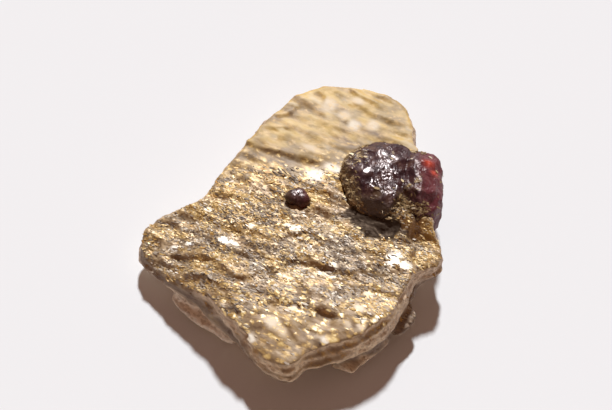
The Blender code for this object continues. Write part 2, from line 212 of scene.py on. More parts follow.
# Where a kind of mica gathers: patch width, offset of its noise, spots (x, y, half length, half width).
GATHERED = {
    "gold": (3.2, 0.0, [(-2.9, 13.5, 2.6, 1.4), (12.0, 18.9, 2.2, 1.2), (-10.0, 1.0, 2.4, 1.6),
                        (-8.7, -6.3, 2.4, 1.2), (17.2, -5.8, 2.0, 1.0), (18.1, -3.3, 1.2, 1.4),
                        (2.5, -3.4, 1.4, 1.0), (-4.1, 0.9, 2.4, 1.4), (-18.9, -2.4, 1.6, 1.6),
                        (-16.5, -1.0, 2.0, 1.0)]),
    "silver": (2.8, 30.0, [(1.8, 15.9, 3.6, 2.4), (-4.1, -9.0, 2.2, 1.4), (-0.1, -19.9, 2.4, 1.6),
                           (10.8, -11.8, 2.6, 1.6), (0.9, 5.9, 1.4, 1.2), (7.1, 3.9, 1.0, 1.4)]),
    "dark": (2.4, 60.0, [(0.2, 11.9, 1.2, 0.6), (-5.0, 10.1, 1.6, 0.6), (-2.2, 8.9, 2.0, 0.5),
                         (-1.3, 7.2, 1.6, 0.8), (-4.1, 0.9, 2.4, 1.2), (-6.2, -0.4, 1.6, 1.0),
                         (-13.3, -3.2, 1.4, 0.4), (-14.3, -5.4, 1.2, 0.7), (-7.9, -3.9, 2.6, 0.7),
                         (-3.2, -5.0, 3.2, 0.8), (7.5, -5.6, 2.0, 1.6), (15.0, -3.8, 2.2, 1.3),
                         (6.0, -7.9, 1.6, 0.8), (9.6, -8.1, 2.2, 1.1), (4.8, -15.4, 1.1, 0.5),
                         (7.1, 8.6, 1.2, 0.4), (7.2, 10.0, 1.4, 1.2)]),
}
GATHER_CONTRAST, GATHER_FLOOR = 2.4, 0.9  # how sharply the patches stand apart


def patchiness(places, size, offset):
    """Patchy noise from 0 to 1 at places in metres: patches of a width, drawn out along the lineation."""
    values = []
    for place in places / MM:
        u, v, w = streak_coordinates(place)
        coarse = noise.noise(Vector((u / size * 0.5, v / size, w / size + offset)))
        fine = noise.noise(Vector((u / size * 1.6, v / size * 3.4, w / size + offset + 7.0)))
        values.append(0.5 + 0.75 * coarse + 0.55 * fine)
    return np.clip(np.array(values), 0.0, 1.0)


def spot_share(places, spots):
    """From 0 to 1 by the nearest of some spots as above, at places in metres, drawn out likewise."""
    u, v, _ = streak_coordinates(places.T / MM)
    share = np.zeros(len(places))
    for x, y, half_length, half_width in spots:
        spot_u, spot_v, _ = streak_coordinates((x, y, 0.0))
        distance = ((u - spot_u) / half_length) ** 2 + ((v - spot_v) / half_width) ** 2
        share = np.maximum(share, np.exp(-distance))
    return share


def gathered(places, kind):
    """How rich a kind of mica is at places in metres: 0 to 1 in its patches, and more in its spots."""
    size, offset, spots = GATHERED[kind]
    patches = np.clip(patchiness(places, size, offset) * GATHER_CONTRAST - GATHER_FLOOR, 0.0, 1.0)
    return patches + spot_share(places, spots)


# Where clear mica lies nearly level and throws the lamp straight back as one bright patch: x, y, length,
# width, and paleness from 0 to 1, which is painted into the patch's colour: partly the clear mica's own
# paleness, partly painted highlight.
PATCHES = [
    (3.3, 6.9, 2.9, 2.0, 1.0), (5.7, 7.8, 2.4, 1.3, 0.9), (2.9, 11.2, 2.7, 0.9, 0.4),
    (13.4, -6.7, 2.2, 2.6, 0.9), (14.9, -7.5, 1.9, 1.8, 0.6), (5.3, 18.6, 1.9, 2.2, 0.5),
    (7.4, 16.8, 1.5, 1.4, 0.4), (8.7, 15.1, 1.6, 1.5, 0.8), (11.2, 15.1, 1.6, 1.5, 0.6),
    (9.2, 19.2, 1.6, 1.1, 0.5), (0.8, -2.0, 1.9, 1.5, 0.6), (-8.4, -3.7, 1.9, 1.1, 0.9),
    (-7.3, -4.1, 1.5, 0.9, 0.7), (-15.0, -3.9, 1.2, 0.8, 1.0), (-13.0, -3.5, 1.2, 0.7, 0.8),
    (-10.7, 1.5, 1.2, 0.9, 0.9), (5.5, -7.5, 1.9, 0.9, 0.5), (4.8, -8.8, 2.6, 0.9, 0.4),
    (-2.0, -16.1, 2.3, 1.5, 0.5), (-1.0, -17.1, 1.9, 1.2, 0.3), (-5.0, -17.9, 1.8, 1.2, 0.9),
    (-0.6, -9.1, 2.2, 0.7, 0.3), (10.2, -11.8, 1.4, 1.2, 0.4), (8.9, -14.2, 1.4, 1.1, 0.6),
    (9.1, -16.7, 1.2, 1.1, 0.4), (7.3, -16.2, 1.1, 0.8, 0.3), (4.6, -18.5, 1.2, 1.1, 0.9),
    (0.6, -13.9, 1.2, 1.1, 0.7), (0.0, -1.6, 1.4, 1.1, 0.5), (-5.1, -1.6, 1.1, 0.9, 0.6),
]
PATCH_FILL = 1.7  # a patch's length over the reach of its falling share
SHARP_FROM, SHARP_OVER, SHARP_LEAST = 0.36, 0.35, 0.08  # the share where a patch starts, in the sharp middle
SOFT_FROM, SOFT_OVER = 0.15, 0.6  # and at the soft ends
RAGGED, RAGGED_LESS = 0.35, 0.22  # how ragged a patch is, and how much less so where it is palest


def patch_values(places):
    """How far places in metres lie in a bright patch, with ragged edges, and how pale that patch is."""
    u, v, _ = streak_coordinates(places.T / MM)
    ragged = np.array([noise.noise(Vector(place * 1.6)) + 0.6 * noise.noise(Vector(place * 4.0))
                       for place in places / MM])
    best, pale = np.zeros(len(places)), np.zeros(len(places))
    for x, y, length, width, paleness in PATCHES:
        patch_u, patch_v, _ = streak_coordinates((x, y, 0.0))
        distance = ((u - patch_u) * PATCH_FILL / length) ** 2 + ((v - patch_v) * PATCH_FILL / width) ** 2
        share = np.exp(-distance)
        pale = np.where(share > best, paleness, pale)
        best = np.maximum(best, share)
    blur = end_share(places[:, 1] / MM)
    sharp = rise(best + (RAGGED - RAGGED_LESS * pale) * ragged, SHARP_FROM, SHARP_OVER) * (best > SHARP_LEAST)
    return sharp * (1.0 - blur) + rise(best, SOFT_FROM, SOFT_OVER) * blur, pale * (1.0 - 0.3 * blur)


# Painted shade in the hollow before the large garnet: x, y and reach of the spots that make it up.
PAINTED_SHADE_SPOTS = [(8.0, 0.4, 1.0), (9.0, -0.5, 1.4), (10.0, -1.2, 1.8), (11.2, -1.9, 2.0), (12.5, -2.1, 1.8),
          (13.6, -2.0, 1.0)]
PAINTED_SHADE_FROM, PAINTED_SHADE_OVER, PAINTED_SHADE_RAGGED = 0.3, 0.25, 0.3


def round_share(x, y, spots):
    """From 0 to 1 by the nearest of some round spots (x, y, reach)."""
    return np.max([np.exp(-((x - spot_x) ** 2 + (y - spot_y) ** 2) / reach ** 2)
                   for spot_x, spot_y, reach in spots], axis=0)


def painted_shade_share(places):
    """How far places in metres lie in the painted shade before the large garnet, with ragged edges."""
    ragged = np.array([noise.noise(Vector(place * 1.9)) for place in places / MM])
    share = round_share(places[:, 0] / MM, places[:, 1] / MM, PAINTED_SHADE_SPOTS)
    return rise(share + PAINTED_SHADE_RAGGED * ragged, PAINTED_SHADE_FROM, PAINTED_SHADE_OVER)


# Zones of the rock: where each starts, and over what distance it sets in.
NEAR_HALF, NEAR_RIM = (-4.0, 7.0), (-16.0, 3.5)  # along Y, towards the near end
FAR_HALF, FAR_TIP = (5.0, 7.0), (12.5, 4.0)  # along Y, towards the far end
BAND_AT, BAND_REACH = 8.5, 3.5  # a duller band across the slab, along Y
STEEP = (0.72, 0.35)  # a face that looks up less than this is a side
FOOT = (3.8, 0.6)  # and so is every face below this height
LIP_HEIGHT, LIP_OVER = 2.1, 0.3  # the lip juts out at the foot, wandering and higher at the near left
RECESS_HEIGHT, RECESS_REACH = 3.1, 0.75  # the recess lies above it
LIP_RISE, LIP_WANDER = 0.6, 0.4
RECESS_RISE, RECESS_WANDER = 0.7, 0.8

rock = cad_copy("schist_matrix", "schist_rock")
even_mesh(rock, ROCK_VOXEL, 1)
plain_normals = np.empty(len(rock.data.vertices) * 3)
rock.data.vertex_normals.foreach_get("vector", plain_normals)
rock_places = move_points(rock, rock_grain)
rock.data.shade_smooth()
x, y, z = rock_places.T / MM
uneven = np.array([noise.noise(Vector(place * 0.7)) for place in rock_places / MM])
near_left = fall(x + y, -14.0, 4.0) * fall(x, -2.0, 3.0)
lip = fall(z, LIP_HEIGHT + LIP_RISE * near_left + LIP_WANDER * uneven, LIP_OVER)
recess_height = RECESS_HEIGHT + RECESS_RISE * near_left + RECESS_WANDER * uneven
patch_share, patch_pale = patch_values(rock_places)
rock_values = {
    "ends": end_share(y),
    "side": np.maximum(fall(plain_normals[2::3], *STEEP), fall(z, *FOOT)),
    # where the sides are painted in shade, in the recess above the lip
    "recess": (1.0 - lip) * np.exp(-((z - recess_height) / (RECESS_REACH + 0.4 * near_left)) ** 2),
    "lip": lip,
    "rim": fall(y, *NEAR_RIM),
    "near": fall(y, *NEAR_HALF),
    "beyond": rise(y, *FAR_HALF),
    "band": np.exp(-((y - BAND_AT) / BAND_REACH) ** 2),
    "far": rise(y, *FAR_TIP),
    "shine": patch_share,
    "pale": patch_pale,
    "painted_shade": painted_shade_share(rock_places),
}
rock_values.update({kind: np.clip(gathered(rock_places, kind), 0.0, 1.0) for kind in GATHERED})
for label, values in rock_values.items():
    add_values(rock.data, label, values)

# ----------------------------------------------------------------------------------------------------------
# Rock material. Colours, gloss and the lean of the finest flakes follow the values that the points carry and
# patterns in object coordinates that are drawn out along the lineation.
STEP_PLANE = (0.03, 0.12, 0.99)  # the plane in which level flakes and growth steps lie


def new_material(name):
    made = bpy.data.materials.new(name)
    made.use_nodes = True
    return made, made.node_tree, made.node_tree.nodes["Principled BSDF"]


def attribute_value(tree, label):
    node = tree.nodes.new("ShaderNodeAttribute")
    node.attribute_name = label
    return node.outputs["Fac"]


def ramp(tree, source, stops):
    """A colour ramp on a value: (position, colour) stops."""
    node = tree.nodes.new("ShaderNodeValToRGB")
    elements = node.color_ramp.elements
    while len(elements) < len(stops):
        elements.new(0.5)
    for element, (position, colour) in zip(elements, stops):
        element.position = position
        element.color = (*colour, 1.0)
    tree.links.new(source, node.inputs["Fac"])
    return node.outputs["Color"]


def spread(tree, source, low, high, start=0.0, end=1.0):
    """A value mapped from start..end to low..high."""
    node = tree.nodes.new("ShaderNodeMapRange")
    node.inputs["From Min"].default_value = start
    node.inputs["From Max"].default_value = end
    node.inputs["To Min"].default_value = low
    node.inputs["To Max"].default_value = high
    tree.links.new(source, node.inputs["Value"])
    return node.outputs["Result"]


def combined(tree, operation, first, second):
    """Two values put together by a mathematical operation."""
    node = tree.nodes.new("ShaderNodeMath")
    node.operation = operation
    tree.links.new(first, node.inputs[0])
    tree.links.new(second, node.inputs[1])
    return node.outputs["Value"]


def mixed(tree, share, first, second):
    """A colour output mixed by a share from 0 to 1 with a second one, which may be a plain colour."""
    node = tree.nodes.new("ShaderNodeMix")
    node.data_type = "RGBA"
    tree.links.new(share, node.inputs["Factor"])
    tree.links.new(first, node.inputs["A"])
    if isinstance(second, tuple):
        node.inputs["B"].default_value = (*second, 1.0)
    else:
        tree.links.new(second, node.inputs["B"])
    return node.outputs["Result"]


def tinted(tree, colour, label, most, tint):
    """A colour mixed with a tint, by a share of most where the value stored under label is 1."""
    return mixed(tree, spread(tree, attribute_value(tree, label), 0.0, most), colour, tint)


def streaked_vector(tree, length, width):
    """Object coordinates turned along the lineation, one unit being length by width."""
    coordinates = tree.nodes.new("ShaderNodeTexCoord")
    mapping = tree.nodes.new("ShaderNodeMapping")
    mapping.vector_type = "TEXTURE"
    mapping.inputs["Rotation"].default_value = (0.0, 0.0, LINEATION)
    mapping.inputs["Scale"].default_value = (length * MM, width * MM, width * MM)
    tree.links.new(coordinates.outputs["Object"], mapping.inputs["Vector"])
    return mapping.outputs["Vector"]


def noise_texture(tree, vector, scale, detail, roughness=0.5):
    node = tree.nodes.new("ShaderNodeTexNoise")
    node.inputs["Scale"].default_value = scale
    node.inputs["Detail"].default_value = detail
    node.inputs["Roughness"].default_value = roughness
    tree.links.new(vector, node.inputs["Vector"])
    return node


def voronoi_texture(tree, vector):
    """One random cell per unit of the vector."""
    node = tree.nodes.new("ShaderNodeTexVoronoi")
    node.inputs["Scale"].default_value = 1.0
    tree.links.new(vector, node.inputs["Vector"])
    return node


def flake_cells(tree, length, width, blurred=False):
    """A random colour for each flake-shaped cell, which runs into the next cell's where blurred."""
    cells = voronoi_texture(tree, streaked_vector(tree, length, width))
    if blurred:
        cells.feature = "SMOOTH_F1"
        cells.inputs["Smoothness"].default_value = 0.7
    return cells.outputs["Color"]


def colour_parts(tree, colour):
    node = tree.nodes.new("ShaderNodeSeparateColor")
    tree.links.new(colour, node.inputs["Color"])
    return node.outputs


def soft_spots(tree, length, width, share):
    """Soft spots from 0 to 1 of several sizes, in a share of flake-shaped cells with wandering borders."""
    vector = streaked_vector(tree, length, width)
    warped = tree.nodes.new("ShaderNodeVectorMath")
    warped.operation = "MULTIPLY_ADD"
    warped.inputs[1].default_value = (1.4, 1.4, 1.4)
    tree.links.new(noise_texture(tree, vector, 1.3, 2.0).outputs["Color"], warped.inputs[0])
    tree.links.new(vector, warped.inputs[2])
    cells = voronoi_texture(tree, warped.outputs["Vector"])
    parts = colour_parts(tree, cells.outputs["Color"])
    picked = spread(tree, parts["Green"], 0.0, 1.0, 1.0 - share, 1.05 - share)
    reach = combined(tree, "MULTIPLY", cells.outputs["Distance"], spread(tree, parts["Blue"], 1.9, 0.9))
    return combined(tree, "MULTIPLY", picked, spread(tree, reach, 1.0, 0.0, 0.15, 0.75))


def tilted_normal(tree, *tilts, level=None):
    """The surface normal, tilted by the random colours of cell patterns: (colours, amount) pairs.

    Where level is 1, the cells lie parallel to each other as growth steps do, whatever way the surface faces.
    """
    normal = tree.nodes.new("ShaderNodeNewGeometry").outputs["Normal"]
    if level is not None:
        steps = tree.nodes.new("ShaderNodeMix")
        steps.data_type = "VECTOR"
        steps.inputs["B"].default_value = STEP_PLANE
        tree.links.new(level, steps.inputs["Factor"])
        tree.links.new(normal, steps.inputs["A"])
        normal = steps.outputs["Result"]
    for cells, amount in tilts:
        centred = tree.nodes.new("ShaderNodeVectorMath")
        centred.operation = "SUBTRACT"
        centred.inputs[1].default_value = (0.5, 0.5, 0.5)
        tree.links.new(cells, centred.inputs[0])
        leaned = tree.nodes.new("ShaderNodeVectorMath")
        leaned.operation = "MULTIPLY_ADD"
        tree.links.new(centred.outputs["Vector"], leaned.inputs[0])
        tree.links.new(amount, leaned.inputs[1])
        tree.links.new(normal, leaned.inputs[2])
        normal = leaned.outputs["Vector"]
    unit_length = tree.nodes.new("ShaderNodeVectorMath")
    unit_length.operation = "NORMALIZE"
    tree.links.new(normal, unit_length.inputs[0])
    return unit_length.outputs["Vector"]


def ground_colour(tree, clouds, flake_value):
    """The top between the plates: fine mica, tinted by what gathers there and by where it lies."""
    ends = attribute_value(tree, "ends")
    patches = noise_texture(tree, streaked_vector(tree, 2.8, 1.2), 1.0, 4.0, 0.6).outputs["Fac"]
    ground = ramp(tree, patches, [(0.36, (0.31, 0.175, 0.085)), (0.50, (0.45, 0.28, 0.14)),
                                  (0.64, (0.60, 0.41, 0.22))])
    ground = tinted(tree, ground, "silver", 0.55, (0.58, 0.46, 0.33))
    ground = tinted(tree, ground, "gold", 0.75, (0.64, 0.39, 0.08))
    cloudy = ramp(tree, clouds, [(0.34, (0.24, 0.145, 0.065)), (0.44, (0.43, 0.27, 0.095)),
                                 (0.54, (0.64, 0.42, 0.11)), (0.66, (0.78, 0.61, 0.34))])
    ground = tinted(tree, ground, "beyond", 0.8, cloudy)
    golden = combined(tree, "MULTIPLY", spread(tree, attribute_value(tree, "gold"), 0.0, 0.6),
                      attribute_value(tree, "beyond"))
    ground = mixed(tree, golden, ground, (0.70, 0.46, 0.10))
    ground = tinted(tree, ground, "band", 0.7, (0.25, 0.16, 0.08))
    ground = tinted(tree, ground, "near", 0.65, (0.33, 0.21, 0.115))
    ground = tinted(tree, ground, "far", 0.18, (0.68, 0.50, 0.29))
    dark = combined(tree, "MULTIPLY", attribute_value(tree, "dark"), spread(tree, ends, 0.75, 0.55))
    ground = mixed(tree, dark, ground, (0.185, 0.12, 0.07))
    ground = tinted(tree, ground, "rim", 0.6, (0.34, 0.225, 0.125))
    flakes = ramp(tree, flake_value, [(0.0, (0.13, 0.08, 0.04)), (0.35, (0.34, 0.22, 0.11)),
                                      (0.7, (0.58, 0.41, 0.20)), (1.0, (0.72, 0.57, 0.36))])
    return mixed(tree, spread(tree, ends, 0.32, 0.10), ground, flakes)


def glinting_spots(tree):
    """Spots where single large flakes lie level: many at the near end, few at its rim and at the far end."""
    spots = combined(tree, "MAXIMUM", soft_spots(tree, 0.95, 0.65, 0.6), soft_spots(tree, 1.9, 1.2, 0.36))
    spots = combined(tree, "MULTIPLY", spots, spread(tree, attribute_value(tree, "ends"), 0.0, 0.8, 0.0, 0.5))
    spots = combined(tree, "MULTIPLY", spots, spread(tree, attribute_value(tree, "beyond"), 1.0, 0.3))
    return combined(tree, "MULTIPLY", spots, spread(tree, attribute_value(tree, "rim"), 1.0, 0.45))


def side_colour(tree, speckle):
    """The broken sides: thin layers, a recess under the top sheets in painted shade, and a pale lip at the
    foot.
    """
    layers = noise_texture(tree, streaked_vector(tree, 2.5, 0.30), 1.0, 3.0, 0.55).outputs["Fac"]
    broken = ramp(tree, layers, [(0.36, (0.30, 0.185, 0.12)), (0.50, (0.68, 0.48, 0.32)),
                                 (0.66, (0.93, 0.76, 0.58))])
    # Painted light: towards the near end and its rim, the sides, which face away from the lamp, are painted
    # lighter.
    broken = tinted(tree, broken, "near", 0.5, (0.98, 0.75, 0.48))
    broken = tinted(tree, broken, "rim", 0.6, (1.0, 0.77, 0.48))
    # Painted shade in the recess under the top sheets.
    broken = tinted(tree, broken, "recess", 0.9, (0.13, 0.075, 0.048))
    broken = tinted(tree, broken, "lip", 0.85, (0.97, 0.81, 0.62))
    return mixed(tree, spread(tree, speckle, 0.0, 0.45, 0.3, 0.9), broken, (0.36, 0.25, 0.17))


def schist_ground():
    """The rock between the plates: glossy mica that gleams where it lies level, and dull broken sides, with
    painted highlight in the bright patches and spots, and painted shade before the large garnet.
    """
    made, tree, shader = new_material("schist_ground")
    ends = attribute_value(tree, "ends")
    side = attribute_value(tree, "side")
    shine = attribute_value(tree, "shine")
    painted_shade = attribute_value(tree, "painted_shade")
    fine_cells = flake_cells(tree, 0.5, 0.24)
    coarse_cells = flake_cells(tree, 1.3, 0.75, blurred=True)
    parts = colour_parts(tree, fine_cells)
    clouds = noise_texture(tree, streaked_vector(tree, 3.4, 1.9), 1.0, 2.0, 0.5).outputs["Fac"]
    spots = glinting_spots(tree)

    bright = ramp(tree, attribute_value(tree, "pale"), [(0.0, (0.60, 0.41, 0.20)), (1.0, (0.86, 0.80, 0.70))])
    # Painted glints: besides lying level, the spots are painted with golden rims and cream middles.
    painted_glint_tint = ramp(tree, spots, [(0.15, (0.62, 0.36, 0.09)), (0.45, (0.80, 0.57, 0.22)),
                                   (0.75, (0.92, 0.80, 0.58))])
    top = ground_colour(tree, clouds, parts["Red"])
    # Bright patches are painted paler by their paleness: partly the clear mica's own colour, partly painted
    # highlight.
    top = mixed(tree, spread(tree, shine, 0.0, 0.85), top, bright)
    top = mixed(tree, spread(tree, spots, 0.0, 1.0, 0.0, 0.4), top, painted_glint_tint)
    # Painted shade before the large garnet: a dark brown there, and its gloss is taken away as well.
    top = mixed(tree, painted_shade, top, (0.070, 0.048, 0.034))
    tree.links.new(mixed(tree, side, top, side_colour(tree, parts["Green"])), shader.inputs["Base Color"])

    worn = combined(tree, "MAXIMUM", ends, side)
    rough = combined(tree, "MULTIPLY", spread(tree, worn, 0.44, 0.58), spread(tree, spots, 1.0, 0.66))
    tree.links.new(rough, shader.inputs["Roughness"])
    tree.links.new(spread(tree, worn, 0.18, 0.0), shader.inputs["Metallic"])
    tree.links.new(spread(tree, painted_shade, 0.5, 0.0), shader.inputs["Specular IOR Level"])

    gleams = combined(tree, "MULTIPLY", spread(tree, clouds, 0.0, 0.75, 0.54, 0.68),
                      attribute_value(tree, "beyond"))
    gleams = combined(tree, "MULTIPLY", gleams, spread(tree, attribute_value(tree, "band"), 1.0, 0.3))
    level = combined(tree, "MAXIMUM", spread(tree, shine, 0.0, 0.9), combined(tree, "MAXIMUM", spots, gleams))
    level = combined(tree, "MULTIPLY", level, spread(tree, side, 1.0, 0.0))
    calm = combined(tree, "MULTIPLY", combined(tree, "MAXIMUM", ends, shine), spread(tree, side, 1.0, 0.2))
    leaned = tilted_normal(tree, (fine_cells, spread(tree, calm, 0.5, 0.08)),
                           (coarse_cells, spread(tree, ends, 0.40, 0.18)), level=level)
    tree.links.new(leaned, shader.inputs["Normal"])
    return made


rock.data.materials.append(schist_ground())
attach(rock, "root")
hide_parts("schist_matrix")

# ----------------------------------------------------------------------------------------------------------
# Mica. Thousands of thin plates lie nearly flat in the rock, drawn out along one direction: weathered golden
# plates, clear silvery ones, dark biotite and plain tan ones. Every plate has its own size, tilt and tint.
# Towards both ends of the slab they are fewer, coarser and more alike, until the rock itself takes over.
DRAWN = np.array([math.cos(LINEATION), math.sin(LINEATION), 0.0])
ACROSS = np.array([-math.sin(LINEATION), math.cos(LINEATION), 0.0])
UPWARD = np.array([0.0, 0.0, 1.0])
PLATE_THICKNESS = 0.04 * MM
PLATE_CORNERS = 6
CURL = 0.08  # a plate's tips usually rise by a quarter of this share of its length
LOWEST_PLATE = 2.6 * MM
LIFT = 0.03  # how far a plate stands out of the rock or lies in it, at most
TOP_FROM, TOP_OVER = 0.66, 0.2  # how far a face has to look up before it holds plates
LEVELLED = 0.3  # share by which a plate lies level instead of along the rock's face
STRAY = 0.35  # usual stray from the lineation
LARGE_RARE = 2.5  # the higher, the fewer large plates
CALM_END, CALM_LARGE = 0.6, 0.4  # share of the tilt that plates at the ends and large plates lack
GROWTH = 0.6  # by how much plates at the ends are larger
DULLED = 0.35  # how much darker in tint the plates of the far half are
DULL_FROM, DULL_OVER = 2.0, 5.0
PALE_EDGE, PALE_OVER, PALE_LOSS = -12.0, 5.0, 0.7  # along X, the left edge lacks this share of dark plates
ENDED_BY = 1.15  # the plates end where the share of the way to an end reaches one part in so many
BARE_PATCH = 0.85  # share of the plates that a bright patch lacks
DARK_ALONE = 0.75  # share of the other kinds that the dark spots lack
ELSEWHERE = 0.04  # how many plates of a kind lie outside the patches where it gathers
KINDS = {  # roll and pitch are the usual slopes across and along the lineation
    "gold": {
        "seed": 11, "count": 3000, "length": (0.25, 1.0), "width": (0.16, 0.42), "roll": 0.26, "pitch": 0.20,
        "stops": [(0.0, (0.44, 0.22, 0.045)), (0.5, (0.64, 0.41, 0.14)), (1.0, (0.80, 0.60, 0.30))],
        "metal": 0.15, "polish": 0.42, "specular": 0.5},
    "silver": {
        "seed": 12, "count": 1200, "length": (0.25, 1.0), "width": (0.18, 0.45), "roll": 0.24, "pitch": 0.20,
        "stops": [(0.0, (0.38, 0.30, 0.22)), (0.5, (0.52, 0.42, 0.31)), (1.0, (0.68, 0.59, 0.46))],
        "metal": 0.08, "polish": 0.42, "specular": 0.5},
    "dark": {
        "seed": 13, "count": 2800, "length": (0.25, 1.1), "width": (0.12, 0.40), "roll": 0.26, "pitch": 0.20,
        "stops": [(0.0, (0.13, 0.092, 0.066)), (0.6, (0.24, 0.182, 0.134)), (1.0, (0.36, 0.28, 0.21))],
        "metal": 0.20, "polish": 0.42, "specular": 0.25},
    "tan": {
        "seed": 14, "count": 3200, "length": (0.18, 0.6), "width": (0.10, 0.28), "roll": 0.28, "pitch": 0.22,
        "stops": [(0.0, (0.26, 0.17, 0.09)), (0.5, (0.40, 0.285, 0.16)), (1.0, (0.56, 0.43, 0.28))],
        "metal": 0.05, "polish": 0.48, "specular": 0.4},
}
PLATE_SEED = 100  # added to a kind's seed for the shapes of its plates
END_ROUGHNESS = 0.55


def unit(vectors):
    return vectors / np.linalg.norm(vectors, axis=-1, keepdims=True)


def surface_samples(piece):
    """Centre, normal and area of every face of a piece."""
    count = len(piece.data.polygons)
    centre, normal, area = np.empty(count * 3), np.empty(count * 3), np.empty(count)
    piece.data.polygons.foreach_get("center", centre)
    piece.data.polygons.foreach_get("normal", normal)
    piece.data.polygons.foreach_get("area", area)
    return centre.reshape(-1, 3), normal.reshape(-1, 3), area


def plate_mesh(name, seed, centre, up, along, length, width, tint, ends):
    """One mesh of closed thin plates, each with ragged corners and a slight curl."""
    rng = np.random.default_rng(seed)
    count = len(centre)
    corners = PLATE_CORNERS
    along = unit(along - up * np.sum(along * up, axis=1, keepdims=True))
    across = np.cross(up, along)
    angles = np.linspace(0.0, 2.0 * math.pi, corners, endpoint=False)
    angles = angles + rng.uniform(-0.3, 0.3, (count, corners))
    reach = rng.uniform(0.75, 1.05, (count, corners))
    x = np.cos(angles) * reach * length[:, None] / 2
    y = np.sin(angles) * reach * width[:, None] / 2
    curl = rng.normal(0.0, CURL, (count, 1)) * x * x / length[:, None]
    top = (centre[:, None] + along[:, None] * x[..., None] + across[:, None] * y[..., None]
           + up[:, None] * (curl + PLATE_THICKNESS / 2)[..., None])
    bottom = top - up[:, None] * PLATE_THICKNESS
    points = np.concatenate([top, bottom], axis=1).reshape(-1, 3)
    ring = list(range(corners))
    plate = [ring, [corners + i for i in reversed(ring)]]
    plate += [[i, corners + i, corners + (i + 1) % corners, (i + 1) % corners] for i in ring]
    faces = [[first + i for i in face] for first in range(0, len(points), 2 * corners) for face in plate]
    mesh = bpy.data.meshes.new(name)
    mesh.from_pydata(points.tolist(), [], faces)
    add_values(mesh, "tint", np.repeat(tint, 2 * corners))
    add_values(mesh, "ends", np.repeat(ends, 2 * corners))
    piece = bpy.data.objects.new(name, mesh)
    bpy.context.scene.collection.objects.link(piece)
    return piece


def mica_material(name, stops, metal, polish, specular=0.5):
    """A mica finish: one tint per plate and a faint metal-like sheen, duller towards the slab's ends."""
    made, tree, shader = new_material(name)
    tree.links.new(ramp(tree, attribute_value(tree, "tint"), stops), shader.inputs["Base Color"])
    rough = spread(tree, attribute_value(tree, "ends"), polish, END_ROUGHNESS)
    tree.links.new(rough, shader.inputs["Roughness"])
    shader.inputs["Metallic"].default_value = metal
    shader.inputs["Specular IOR Level"].default_value = specular
    return made


rock_centre, rock_normal, rock_area = surface_samples(rock)
top_share = rise(rock_normal[:, 2], TOP_FROM, TOP_OVER) * (rock_centre[:, 2] > LOWEST_PLATE)
rock_ends = end_share(rock_centre[:, 1] / MM)
bare_share = np.maximum(BARE_PATCH * patch_values(rock_centre)[0], painted_shade_share(rock_centre))
dark_share = spot_share(rock_centre, GATHERED["dark"][2])
for kind, look in KINDS.items():
    rng = np.random.default_rng(look["seed"])
    count = look["count"]
    weight = rock_area * top_share * (1.0 - np.minimum(rock_ends * ENDED_BY, 1.0))
    weight *= 1.0 - bare_share
    if kind in GATHERED:
        weight *= ELSEWHERE + gathered(rock_centre, kind)
    if kind == "dark":
        weight *= 1.0 - PALE_LOSS * fall(rock_centre[:, 0] / MM, PALE_EDGE, PALE_OVER)
    else:
        weight *= 1.0 - DARK_ALONE * dark_share
    chosen = rng.choice(len(rock_area), count, p=weight / np.sum(weight))
    ends = rock_ends[chosen]
    large = rng.random(count) ** LARGE_RARE
    calm = ((1.0 - CALM_END * ends) * (1.0 - CALM_LARGE * large))[:, None]
    up = unit(rock_normal[chosen] * (1.0 - LEVELLED) + UPWARD * LEVELLED)
    up = unit(up + calm * (ACROSS * np.tan(rng.normal(0.0, look["roll"], (count, 1)))
                           + DRAWN * np.tan(rng.normal(0.0, look["pitch"], (count, 1)))))
    along = DRAWN + rng.normal(0.0, STRAY, (count, 3))
    grow = 1.0 + GROWTH * ends
    shortest, longest = look["length"]
    narrowest, widest = look["width"]
    length = (shortest + (longest - shortest) * large) * grow * MM
    width = (narrowest + (widest - narrowest) * large * rng.random(count)) * grow * MM
    lift = rng.uniform(-LIFT, LIFT, (count, 1)) * MM
    tint = 0.5 + (rng.random(count) - 0.5) * (1.0 - CALM_END * ends)
    tint -= DULLED * rise(rock_centre[chosen, 1] / MM, DULL_FROM, DULL_OVER)
    place = rock_centre[chosen] + rock_normal[chosen] * lift
    piece = plate_mesh(f"mica_{kind}", look["seed"] + PLATE_SEED, place, up, along, length, width, tint, ends)
    finish = mica_material(f"mica_{kind}", look["stops"], look["metal"], look["polish"], look["specular"])
    piece.data.materials.append(finish)
    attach(piece, "root")

# ----------------------------------------------------------------------------------------------------------
# Clear flakes. In the duller of the bright patches, away from the slab's ends, a few clear flakes lie stacked
# nearly level in the top face. The palest patches are one smooth sheet and have none.
PATCH_FLAKES_PER_MM2 = 1.2
PATCH_FLAKES_UNTIL = 0.6  # share of the way to an end
SMOOTH_FROM = 0.85  # paleness from which a patch is one smooth sheet
# The flakes' tints follow their patch's paleness: partly their own colour, partly painted highlight.
PATCH_COLOURS = [(0.0, (0.46, 0.32, 0.16)), (0.5, (0.60, 0.48, 0.31)), (1.0, (0.86, 0.83, 0.78))]
LAMP_RETURN = np.array([0.03, 0.10, 0.99])  # the tilt at which a flake throws the lamp back to the lens
ABOVE_ALL = 20.0  # higher than any point of the rock
CLEAR_SEED, CLEAR_SHAPE_SEED = 21, 22


def height_at(x, y):
    """Height in metres and normal of the rock's top face at a place."""
    start = Vector((x * MM, y * MM, ABOVE_ALL * MM))
    _, place, normal, _ = rock.ray_cast(start, Vector((0.0, 0.0, -1.0)))
    return place.z, np.array(normal)


